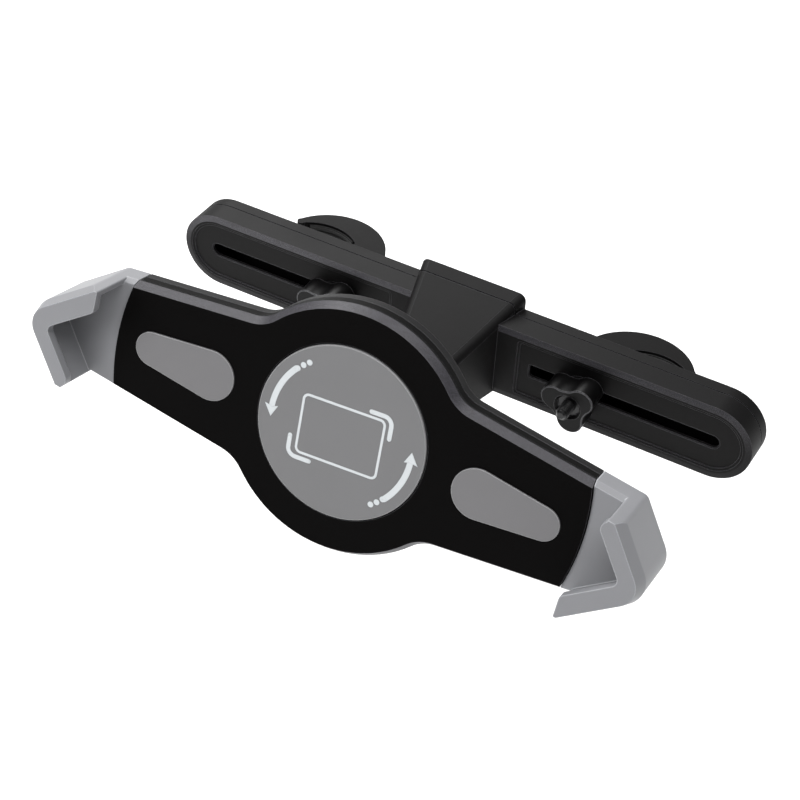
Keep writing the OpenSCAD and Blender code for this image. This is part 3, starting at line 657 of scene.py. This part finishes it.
def cradle_grooves() -> tuple:
    """Levels of the crease and the seam along the cradle's axis.

    Returns:
        Direction, low and high level of each line, in metres.
    """
    axes = Layout().cradle()
    face = axes.origin.dot(axes.out)
    out = tuple(axes.out)
    crease = (out, face - 0.00396, face - 0.00369)
    seam = (out, face - 0.00771, face - 0.00734)
    return crease, seam


RAIL_SEAM = ((0, -1, 0), 0.00528, 0.00567)
RAIL = Finish("charcoal_moulding", (0.0022, 0.002, 0.002), 0.55, 0.115, glint=0.03,
              highlight_colour=(0.12, 0.12, 0.13), highlight_share=0.7, zone=Zone.RAIL_BEVEL, grooves=(RAIL_SEAM,))
HOOK = Finish("charcoal_hook", (0.0022, 0.002, 0.002), 0.55, 0.08, glint=0.02, highlight_share=0.3)
KNOB = Finish("black_knob", (0.0014, 0.0013, 0.0014), 0.4, 0.13, grain_depth=0.000008, highlight_share=0.9,
              edge_width=0.0004)
SOFT = Finish("soft_black_cover", (0.0014, 0.0012, 0.0012), 0.7, 0.04, grain_depth=0.00001,
              highlight_colour=(0.16, 0.16, 0.17), highlight_share=0.7, zone=Zone.CRADLE_BEVEL,
              grooves=cradle_grooves())
BACK = Finish("dark_back_cover", (0.006, 0.0058, 0.0062), 0.55, 0.17, glint=0.03)
PANEL = Finish("grey_plate", (0.137, 0.137, 0.14), 0.5, 0.3, cloud=0.04, glint=0.05, grain_depth=0.000006,
               highlight_colour=(0.5, 0.5, 0.5), highlight_share=1.0, edge_width=0.0004)
PAD = Finish("grey_grip", (0.137, 0.135, 0.139), 0.6, 0.25, cloud=0.04, glint=0.05, grain_depth=0.00001,
             highlight_colour=(0.45, 0.45, 0.45), highlight_share=1.0, edge_width=0.0004)
JAW = Finish("silver_jaw", (0.186, 0.188, 0.198), 0.45, 0.35, cloud=0.04, glint=0.06, grain_depth=0.000006,
             highlight_colour=(0.42, 0.43, 0.45), highlight_share=1.0, edge_width=0.0007)
STEEL = Finish("zinc_steel", (0.4, 0.4, 0.42), 0.34, 0.5, metallic=0.9, grain_depth=0.00001, highlight_share=0.3)
BLACK_STEEL = Finish("black_oxide_steel", (0.004, 0.004, 0.0044), 0.3, 0.35, grain_depth=0.000004,
                     highlight_colour=(0.12, 0.12, 0.13), highlight_share=0.4, edge_width=0.0001)
RUBBER = Finish("black_rubber", (0.004, 0.004, 0.004), 0.75, 0.2, grain_depth=0.00003, highlight_share=0.1)
NYLON = Finish("natural_nylon", (0.5, 0.49, 0.45), 0.5, 0.4, grain_depth=0.00001, highlight_share=0.1)
INK = Finish("white_ink", (0.5, 0.525, 0.54), 0.5, 0.3, cloud=0.02, grain_depth=0.000004, highlight_share=0.0)
FLOOR = Finish("pale_floor", (0.93, 0.93, 0.93), 0.9, 0.05, cloud=0.02, grain_scale=60.0, grain_depth=0.0,
               highlight_share=0.0)


class SmoothShade:
    """Geometry Nodes tree that joins a node's loose triangles and smooths all but sharp edges."""

    @staticmethod
    def tree() -> bpy.types.NodeTree:
        """Builds the tree once.

        Returns:
            The tree, with Merge and Angle inputs.
        """
        found = bpy.data.node_groups.get("smooth_moulding")
        if found:
            return found
        desk, source, target = NodeDesk.start(
            "smooth_moulding", "GeometryNodeTree",
            [("Geometry", GEOMETRY, None), ("Merge", FLOAT, 0.000002), ("Angle", FLOAT, math.radians(12))],
            [("Geometry", GEOMETRY)])
        bare = desk.put("GeometryNodeRemoveAttribute")
        desk.feed(bare.inputs["Name"], "custom_normal")
        desk.feed(bare.inputs["Geometry"], source.outputs["Geometry"])
        merge = desk.put("GeometryNodeMergeByDistance")
        desk.feed(merge.inputs["Geometry"], bare.outputs["Geometry"])
        desk.feed(merge.inputs["Distance"], source.outputs["Merge"])
        faces = desk.put("GeometryNodeSetShadeSmooth", domain="FACE")
        desk.feed(faces.inputs["Geometry"], merge.outputs["Geometry"])
        corner = desk.put("GeometryNodeInputMeshEdgeAngle")
        sharp = desk.put("FunctionNodeCompare", data_type="FLOAT", operation="LESS_EQUAL")
        desk.feed(sharp.inputs[0], corner.outputs["Unsigned Angle"])
        desk.feed(sharp.inputs[1], source.outputs["Angle"])
        edges = desk.put("GeometryNodeSetShadeSmooth", domain="EDGE")
        desk.feed(edges.inputs["Geometry"], faces.outputs["Geometry"])
        desk.feed(edges.inputs["Shade Smooth"], sharp.outputs["Result"])
        desk.feed(target.inputs["Geometry"], edges.outputs["Geometry"])
        return desk.tree

    @staticmethod
    def apply_to(obj: bpy.types.Object) -> None:
        """Adds the tree to a CAD node as its only modifier.

        Args:
            obj: the node's object.
        """
        modifier = obj.modifiers.new("smooth_moulding", "NODES")
        modifier.node_group = SmoothShade.tree()


def paint(obj: bpy.types.Object, finish: Finish) -> None:
    """Gives a piece one finish.

    Args:
        obj: the piece.
        finish: the finish it takes.
    """
    obj.data.materials.clear()
    obj.data.materials.append(finish.build())


def piece(name: str, bm: bmesh.types.BMesh, finish: Finish, body: str) -> bpy.types.Object:
    """Makes an object of a bmesh and hangs it on a body.

    Args:
        name: the piece's name.
        bm: its mesh, in metres of the row frame.
        finish: its finish.
        body: the body that it rides on.

    Returns:
        The new object.
    """
    mesh = bpy.data.meshes.new(name)
    bmesh.ops.remove_doubles(bm, verts=bm.verts, dist=1e-7)
    bmesh.ops.recalc_face_normals(bm, faces=bm.faces)
    bm.to_mesh(mesh)
    bm.free()
    obj = bpy.data.objects.new(name, mesh)
    bpy.context.scene.collection.objects.link(obj)
    paint(obj, finish)
    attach(obj, body)
    LOG.info("piece %s on %s, %d faces", name, body, len(mesh.polygons))
    return obj


def grown(tree: bpy.types.NodeTree, base: bpy.types.Mesh, values: dict) -> bpy.types.Mesh:
    """Runs a Geometry Nodes tree once and keeps its result as a plain mesh.

    Args:
        tree: the tree to run.
        base: the mesh that it starts from.
        values: the tree's named inputs.

    Returns:
        The plain mesh.
    """
    host = bpy.data.objects.new("host", base)
    bpy.context.scene.collection.objects.link(host)
    modifier = host.modifiers.new("grow", "NODES")
    modifier.node_group = tree
    for item in tree.interface.items_tree:
        if item.item_type == "SOCKET" and item.in_out == "INPUT" and item.name in values:
            modifier[item.identifier] = values[item.name]
    graph = bpy.context.evaluated_depsgraph_get()
    mesh = bpy.data.meshes.new_from_object(host.evaluated_get(graph))
    bpy.data.objects.remove(host)
    return mesh


@dataclass
class Dresser:
    """Dresses the CAD nodes."""

    frame: dict
    single: dict = field(default_factory=lambda: {
        "rail_front": RAIL, "rail_back": RAIL, "rail_screws": BLACK_STEEL, "ball_stud": BLACK_STEEL,
        "ball_stud_nut": STEEL, "socket_liner": NYLON, "hub_socket": KNOB, "socket_ring": KNOB,
        "friction_washer": NYLON, "hub_plate": KNOB, "hub_screw": STEEL, "center_disc": PANEL,
        "cradle_front": SOFT, "cradle_back": BACK, "cradle_screws": BLACK_STEEL, "pinion": NYLON,
        "return_spring": STEEL,
    })
    paired: dict = field(default_factory=lambda: {
        "slot_bush": KNOB, "knob": KNOB, "knob_nut": BLACK_STEEL, "hook": HOOK, "hook_pad": RUBBER,
        "clamp_bolt": BLACK_STEEL, "grip_pad": PAD, "jaw": JAW,
    })

    def dress(self) -> None:
        """Paints and smooths every CAD node."""
        finishes = dict(self.single)
        for side in Side:
            for name, finish in self.paired.items():
                finishes[f"{side.value}_{name}"] = finish
        for name, obj in self.frame["nodes"].items():
            paint(obj, finishes[name])
            SmoothShade.apply_to(obj)
            LOG.info("dressed %s as %s", name, finishes[name].name)


@dataclass
class ClampBolt:
    """A clamp's bolt with its hex head and cut thread, in millimetres.

    It stands at x along the rail, and gap is how far its hook stands off the rail's back.
    """

    side: Side
    x: float
    gap: float
    length: float = 40.0
    radius: float = 2.5
    pitch: float = 0.8
    floor: float = 7.4
    head_r: float = 4.6
    head_h: float = 3.5
    thread_from: float = 14.0
    thread_end: float = 0.9
    ridge_depth: float = 0.6
    core_depth: float = 0.5
    tip: float = 0.7
    head_edge: float = 0.35
    steps: int = 32

    @staticmethod
    def thread_tree() -> bpy.types.NodeTree:
        """Geometry Nodes tree of a thread's ridge, wound along Z.

        Returns:
            The tree, with Turns, Pitch, Radius, Depth and Material inputs.
        """
        found = bpy.data.node_groups.get("thread_ridge")
        if found:
            return found
        desk, source, target = NodeDesk.start(
            "thread_ridge", "GeometryNodeTree",
            [("Turns", FLOAT, 20.0), ("Pitch", FLOAT, 0.0008), ("Radius", FLOAT, 0.0025),
             ("Depth", FLOAT, 0.0004), ("Material", MATERIAL, None)],
            [("Geometry", GEOMETRY)])
        half = desk.math("MULTIPLY", source.outputs["Depth"], 0.5)
        inner = desk.math("SUBTRACT", source.outputs["Radius"], half)
        coil = desk.put("GeometryNodeCurveSpiral")
        coil.inputs["Resolution"].default_value = 28
        desk.feed(coil.inputs["Rotations"], source.outputs["Turns"])
        desk.feed(coil.inputs["Start Radius"], inner)
        desk.feed(coil.inputs["End Radius"], inner)
        length = desk.math("MULTIPLY", source.outputs["Turns"], source.outputs["Pitch"])
        desk.feed(coil.inputs["Height"], length)
        profile = desk.put("GeometryNodeCurvePrimitiveCircle", mode="RADIUS")
        profile.inputs["Resolution"].default_value = 4
        desk.feed(profile.inputs["Radius"], half)
        sweep = desk.put("GeometryNodeCurveToMesh")
        sweep.inputs["Fill Caps"].default_value = True
        desk.feed(sweep.inputs["Curve"], coil.outputs["Curve"])
        desk.feed(sweep.inputs["Profile Curve"], profile.outputs["Curve"])
        desk.deliver(sweep.outputs["Mesh"], source, target)
        return desk.tree

    def ridge(self) -> bpy.types.Mesh:
        """The thread's ridge as a plain mesh, along Z from zero.

        Returns:
            The mesh.
        """
        turns = (self.length - self.thread_from - self.thread_end) / self.pitch
        values = {"Turns": turns, "Pitch": self.pitch * MM, "Radius": self.radius * MM,
                  "Depth": self.ridge_depth * MM, "Material": BLACK_STEEL.build()}
        return grown(self.thread_tree(), bpy.data.meshes.new("thread"), values)

    @staticmethod
    def ring(bm: bmesh.types.BMesh, r: float, z: float, count: int) -> list:
        """Adds a ring of points round the bolt's axis, or one point repeated where its radius is 0.

        Args:
            bm: the mesh to add to.
            r: its radius in millimetres.
            z: its height in millimetres.
            count: number of points.

        Returns:
            The points in order.
        """
        if r == 0:
            return [bm.verts.new((0, 0, z * MM))] * count
        turns = [math.tau * i / count for i in range(count)]
        return [bm.verts.new((r * MM * math.cos(turn), r * MM * math.sin(turn), z * MM)) for turn in turns]

    @staticmethod
    def skin(bm: bmesh.types.BMesh, rings: Sequence[list]) -> None:
        """Adds the faces between rings.

        Args:
            bm: the mesh to add to.
            rings: rings with the same number of points, in order.
        """
        for low, high in zip(rings, rings[1:]):
            for i in range(len(low)):
                j = (i + 1) % len(low)
                corners = list(dict.fromkeys((low[i], low[j], high[j], high[i])))
                if len(corners) > 2:
                    bm.faces.new(corners)

    def shank(self, bm: bmesh.types.BMesh) -> None:
        """Adds the shank, thinner where the thread is.

        Args:
            bm: the mesh to add to.
        """
        core = self.radius - self.core_depth
        profile = [(0, 0), (self.radius, 0), (self.radius, self.thread_from - 0.3), (core, self.thread_from),
                   (core, self.length - self.tip), (core - self.tip, self.length), (0, self.length)]
        self.skin(bm, [self.ring(bm, r, z, self.steps) for r, z in profile])

    def hex_head(self, bm: bmesh.types.BMesh) -> None:
        """Adds the hex head.

        Args:
            bm: the mesh to add to.
        """
        edge = self.head_edge
        levels = [(self.head_r - edge, -self.head_h), (self.head_r, -self.head_h + edge), (self.head_r, 0)]
        hexes = [self.ring(bm, r, z, 6) for r, z in levels]
        self.skin(bm, hexes)
        bm.faces.new(hexes[0])
        bm.faces.new(hexes[-1])

    def build(self) -> bpy.types.Object:
        """Makes the bolt in place of its plain solid.

        Returns:
            The new piece.
        """
        bm = bmesh.new()
        bm.from_mesh(self.ridge())
        lift = Matrix.Translation((0, 0, self.thread_from * MM))
        bmesh.ops.transform(bm, matrix=lift, verts=bm.verts)
        self.shank(bm)
        self.hex_head(bm)
        seat = Matrix.Translation((self.x * MM, (self.gap + self.floor) * MM, 0))
        place = seat @ Matrix.Rotation(math.radians(90), 4, "X")
        bmesh.ops.transform(bm, matrix=place, verts=bm.verts)
        node = f"{self.side.value}_clamp_bolt"
        obj = piece(f"{node}_threaded", bm, BLACK_STEEL, f"{self.side.value}_hook")
        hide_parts(node)
        return obj


@dataclass
class PlatePrint:
    """The marks printed on the round plate: a tablet's outline, corner brackets and turning arrows.

    Sizes are in millimetres and degrees. A bracket is its first point, its corner's centre, the corner's
    angles and its last point. An arrow's head is given as radius and angle of its four corners.
    """

    axes: Axes
    height: float
    film: float = 0.08
    sunk: float = 0.02
    box_w: float = 30.5
    box_h: float = 21.9
    box_y: float = -0.95
    line: float = 0.95
    corner_r: float = 1.9
    bracket: float = 1.65
    bracket_r: float = 3.0
    brackets: tuple = (
        ((9.7, 11.9), (14.6, 8.9), (90, 0), (17.6, 4.3)),
        ((-18.1, -6.8), (-15.1, -11.1), (180, 270), (-9.7, -14.1)),
    )
    arrow_r: float = 26.6
    arrow_w: float = 2.2
    arrow_span: tuple = (137, 177.5)
    head_shape: tuple = ((24.3, 175.4), (26.6, 177.2), (29.4, 176.3), (26.6, 185.5))
    dot_angles: tuple = (137.0, 131.2, 125.6)

    @staticmethod
    def ink_tree() -> bpy.types.NodeTree:
        """Geometry Nodes tree that turns edges into flat lines of ink and loose points into round dots.

        Returns:
            The tree, with Geometry, Width, Film and Material inputs.
        """
        found = bpy.data.node_groups.get("ink_marks")
        if found:
            return found
        desk, source, target = NodeDesk.start(
            "ink_marks", "GeometryNodeTree",
            [("Geometry", GEOMETRY, None), ("Width", FLOAT, 0.001), ("Film", FLOAT, 0.00005),
             ("Material", MATERIAL, None)],
            [("Geometry", GEOMETRY)])
        near = desk.put("GeometryNodeInputMeshVertexNeighbors")
        alone = desk.put("FunctionNodeCompare", data_type="INT", operation="EQUAL")
        desk.feed(alone.inputs[2], near.outputs["Vertex Count"])
        path = desk.put("GeometryNodeMeshToCurve")
        desk.feed(path.inputs["Mesh"], source.outputs["Geometry"])
        level = desk.put("GeometryNodeSetCurveNormal", mode="Z_UP")
        desk.feed(level.inputs["Curve"], path.outputs["Curve"])
        profile = desk.put("GeometryNodeCurvePrimitiveQuadrilateral", mode="RECTANGLE")
        desk.feed(profile.inputs["Width"], source.outputs["Width"])
        desk.feed(profile.inputs["Height"], source.outputs["Film"])
        line = desk.put("GeometryNodeCurveToMesh")
        line.inputs["Fill Caps"].default_value = True
        desk.feed(line.inputs["Curve"], level.outputs["Curve"])
        desk.feed(line.inputs["Profile Curve"], profile.outputs["Curve"])
        dot = desk.put("GeometryNodeMeshCylinder")
        dot.inputs["Vertices"].default_value = 24
        desk.feed(dot.inputs["Radius"], desk.math("MULTIPLY", source.outputs["Width"], 0.49))
        desk.feed(dot.inputs["Depth"], desk.math("MULTIPLY", source.outputs["Film"], 0.8))
        spots = desk.put("GeometryNodeInstanceOnPoints")
        desk.feed(spots.inputs["Points"], source.outputs["Geometry"])
        desk.feed(spots.inputs["Selection"], alone.outputs["Result"])
        desk.feed(spots.inputs["Instance"], dot.outputs["Mesh"])
        both = desk.put("GeometryNodeJoinGeometry")
        desk.feed(both.inputs["Geometry"], line.outputs["Mesh"])
        desk.feed(both.inputs["Geometry"], spots.outputs["Instances"])
        desk.deliver(both.outputs["Geometry"], source, target)
        return desk.tree

    def ink(self, bm: bmesh.types.BMesh, paths: Sequence[list], dots: Sequence[tuple], width: float,
            closed: bool = False) -> None:
        """Adds lines and dots of one width.

        Args:
            bm: the mesh to add to, in the plate's own plane.
            paths: middle lines, in millimetres.
            dots: middles of round dots, in millimetres.
            width: width of the lines and dots.
            closed: whether each path's last point joins its first.
        """
        points = [(x * MM, y * MM, 0.0) for path in (*paths, dots) for x, y in path]
        edges = []
        start = 0
        for path in paths:
            count = len(path)
            edges += [(start + i, start + (i + 1) % count) for i in range(count if closed else count - 1)]
            start += count
        base = bpy.data.meshes.new("ink_paths")
        base.from_pydata(points, edges, [])
        values = {"Width": width * MM, "Film": self.film * MM, "Material": INK.build()}
        bm.from_mesh(grown(self.ink_tree(), base, values))

    def head(self, bm: bmesh.types.BMesh, outline: Sequence[tuple]) -> None:
        """Adds an arrow's head as a film a little thinner than the lines.

        Args:
            bm: the mesh to add to.
            outline: its corners in millimetres, in order.
        """
        half = self.film * 0.4 * MM
        low, high = ([bm.verts.new((x * MM, y * MM, z)) for x, y in outline] for z in (-half, half))
        bm.faces.new(high)
        bm.faces.new(list(reversed(low)))
        count = len(outline)
        for i in range(count):
            j = (i + 1) % count
            bm.faces.new((low[i], low[j], high[j], high[i]))

    @staticmethod
    def arc(cx: float, cy: float, r: float, start: float, stop: float, steps: int) -> list:
        """Points on an arc.

        Args:
            cx: its centre's x.
            cy: its centre's y.
            r: its radius.
            start: first angle in degrees.
            stop: last angle in degrees.
            steps: number of pieces.

        Returns:
            The points in order.
        """
        turns = [math.radians(start + (stop - start) * i / steps) for i in range(steps + 1)]
        return [(cx + r * math.cos(turn), cy + r * math.sin(turn)) for turn in turns]

    def spot(self, r: float, angle: float) -> tuple:
        """Point at a radius and an angle in degrees from the plate's middle."""
        return self.arc(0, 0, r, angle, angle, 1)[0]

    def outline_path(self) -> list:
        """Middle line of the tablet's outline, with rounded corners.

        Returns:
            The points in order.
        """
        r, w, h = self.corner_r, self.box_w / 2, self.box_h / 2
        points = []
        for sx, sy, start in ((1, 1, 0), (-1, 1, 90), (-1, -1, 180), (1, -1, 270)):
            points += self.arc(sx * (w - r), self.box_y + sy * (h - r), r, start, start + 90, 6)
        return points

    def corner_marks(self, bm: bmesh.types.BMesh) -> None:
        """Adds the two round-ended brackets outside the outline's corners.

        Args:
            bm: the mesh to add to.
        """
        paths = []
        ends = []
        for first, centre, angles, last in self.brackets:
            paths.append([first] + self.arc(*centre, self.bracket_r, *angles, 6) + [last])
            ends += [first, last]
        self.ink(bm, paths, ends, self.bracket)

    def turning_arrows(self, bm: bmesh.types.BMesh) -> None:
        """Adds the two arrows with their heads and trailing dots.

        Args:
            bm: the mesh to add to.
        """
        shafts = []
        dots = []
        for turn in (0, 180):
            start, stop = self.arrow_span
            shafts.append(self.arc(0, 0, self.arrow_r, start + turn, stop + turn, 14))
            dots += [self.spot(self.arrow_r - 0.2, angle + turn) for angle in self.dot_angles]
            self.head(bm, [self.spot(r, angle + turn) for r, angle in self.head_shape])
        self.ink(bm, shafts, dots, self.arrow_w)

    def build(self) -> bpy.types.Object:
        """Makes the print as one piece on the plate.

        Returns:
            The new piece.
        """
        bm = bmesh.new()
        self.ink(bm, [self.outline_path()], [], self.line, closed=True)
        self.corner_marks(bm)
        self.turning_arrows(bm)
        for face in bm.faces:
            face.smooth = False
        axes = self.axes
        turn = Matrix((axes.right, axes.up, axes.out)).transposed().to_4x4()
        lift = self.height + self.film / 2 - self.sunk
        bmesh.ops.transform(bm, matrix=Matrix.Translation(axes.at(0, 0, lift)) @ turn, verts=bm.verts)
        return piece("plate_print", bm, INK, "hub")


@dataclass
class Studio:
    """Camera, floor and light as in the photograph."""

    lens: float = 87.49
    eye: tuple = (0.24759, -0.52533, 0.45232)
    view: tuple = (-0.35405107, 0.67470722, -0.64762489)
    right: tuple = (0.86659651, 0.49705849, 0.04408344)
    floor_z: float = -0.16
    floor_size: float = 6.0
    surroundings: float = 0.35
    lamps: tuple = (
        ("top_back_light", (-0.9, 0.9, 1.15), 1.0, 30.0),
        ("left_front_light", (-0.9, -1.3, 0.9), 0.9, 17.0),
        ("top_light", (0.35, -0.3, 1.7), 1.4, 30.0),
    )

    def camera(self) -> None:
        """Sets the camera at the photograph's place."""
        data = bpy.data.cameras.new("photo_camera")
        data.lens = self.lens
        data.sensor_width = 36.0
        data.clip_start = 0.01
        data.clip_end = 50.0
        obj = bpy.data.objects.new("photo_camera", data)
        bpy.context.scene.collection.objects.link(obj)
        view = Vector(self.view).normalized()
        right = (Vector(self.right) - view * Vector(self.right).dot(view)).normalized()
        up = right.cross(view)
        turn = Matrix((right, up, -view)).transposed().to_4x4()
        obj.matrix_world = Matrix.Translation(Vector(self.eye)) @ turn
        bpy.context.scene.camera = obj

    def floor(self) -> None:
        """Lays the pale floor."""
        bm = bmesh.new()
        level = Matrix.Translation((0, 0, self.floor_z))
        bmesh.ops.create_grid(bm, x_segments=4, y_segments=4, size=self.floor_size, matrix=level)
        mesh = bpy.data.meshes.new("studio_floor")
        bm.to_mesh(mesh)
        bm.free()
        obj = bpy.data.objects.new("studio_floor", mesh)
        bpy.context.scene.collection.objects.link(obj)
        paint(obj, FLOOR)

    @staticmethod
    def lamp(name: str, place: tuple, size: float, power: float) -> None:
        """Hangs a soft area light that faces the object.

        Args:
            name: its name.
            place: where it hangs, in metres.
            size: edge of its square.
            power: watts.
        """
        data = bpy.data.lights.new(name, "AREA")
        data.size = size
        data.energy = power
        obj = bpy.data.objects.new(name, data)
        obj.location = place
        obj.rotation_euler = (-Vector(place)).to_track_quat("-Z", "Y").to_euler()
        bpy.context.scene.collection.objects.link(obj)

    def light(self) -> None:
        """Sets the pale surroundings and three soft lights."""
        world = bpy.data.worlds.new("studio")
        bpy.context.scene.world = world
        world.use_nodes = True
        background = world.node_tree.nodes["Background"]
        background.inputs["Color"].default_value = (1.0, 1.0, 1.0, 1.0)
        background.inputs["Strength"].default_value = self.surroundings
        for lamp in self.lamps:
            self.lamp(*lamp)
        bpy.context.scene.view_settings.view_transform = "Standard"

    def build(self) -> None:
        """Sets up camera, floor and light."""
        self.camera()
        self.floor()
        self.light()


def main() -> None:
    """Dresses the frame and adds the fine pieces."""
    logging.basicConfig(level=logging.INFO, format="%(name)s %(message)s")
    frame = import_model()
    layout = Layout()
    Dresser(frame).dress()
    ClampBolt(Side.LEFT, x=-51.0, gap=5.0).build()
    ClampBolt(Side.RIGHT, x=53.0, gap=2.0).build()
    PlatePrint(layout.hub(), height=layout.disc_top).build()
    Studio().build()


if __name__ == "__main__":
    main()
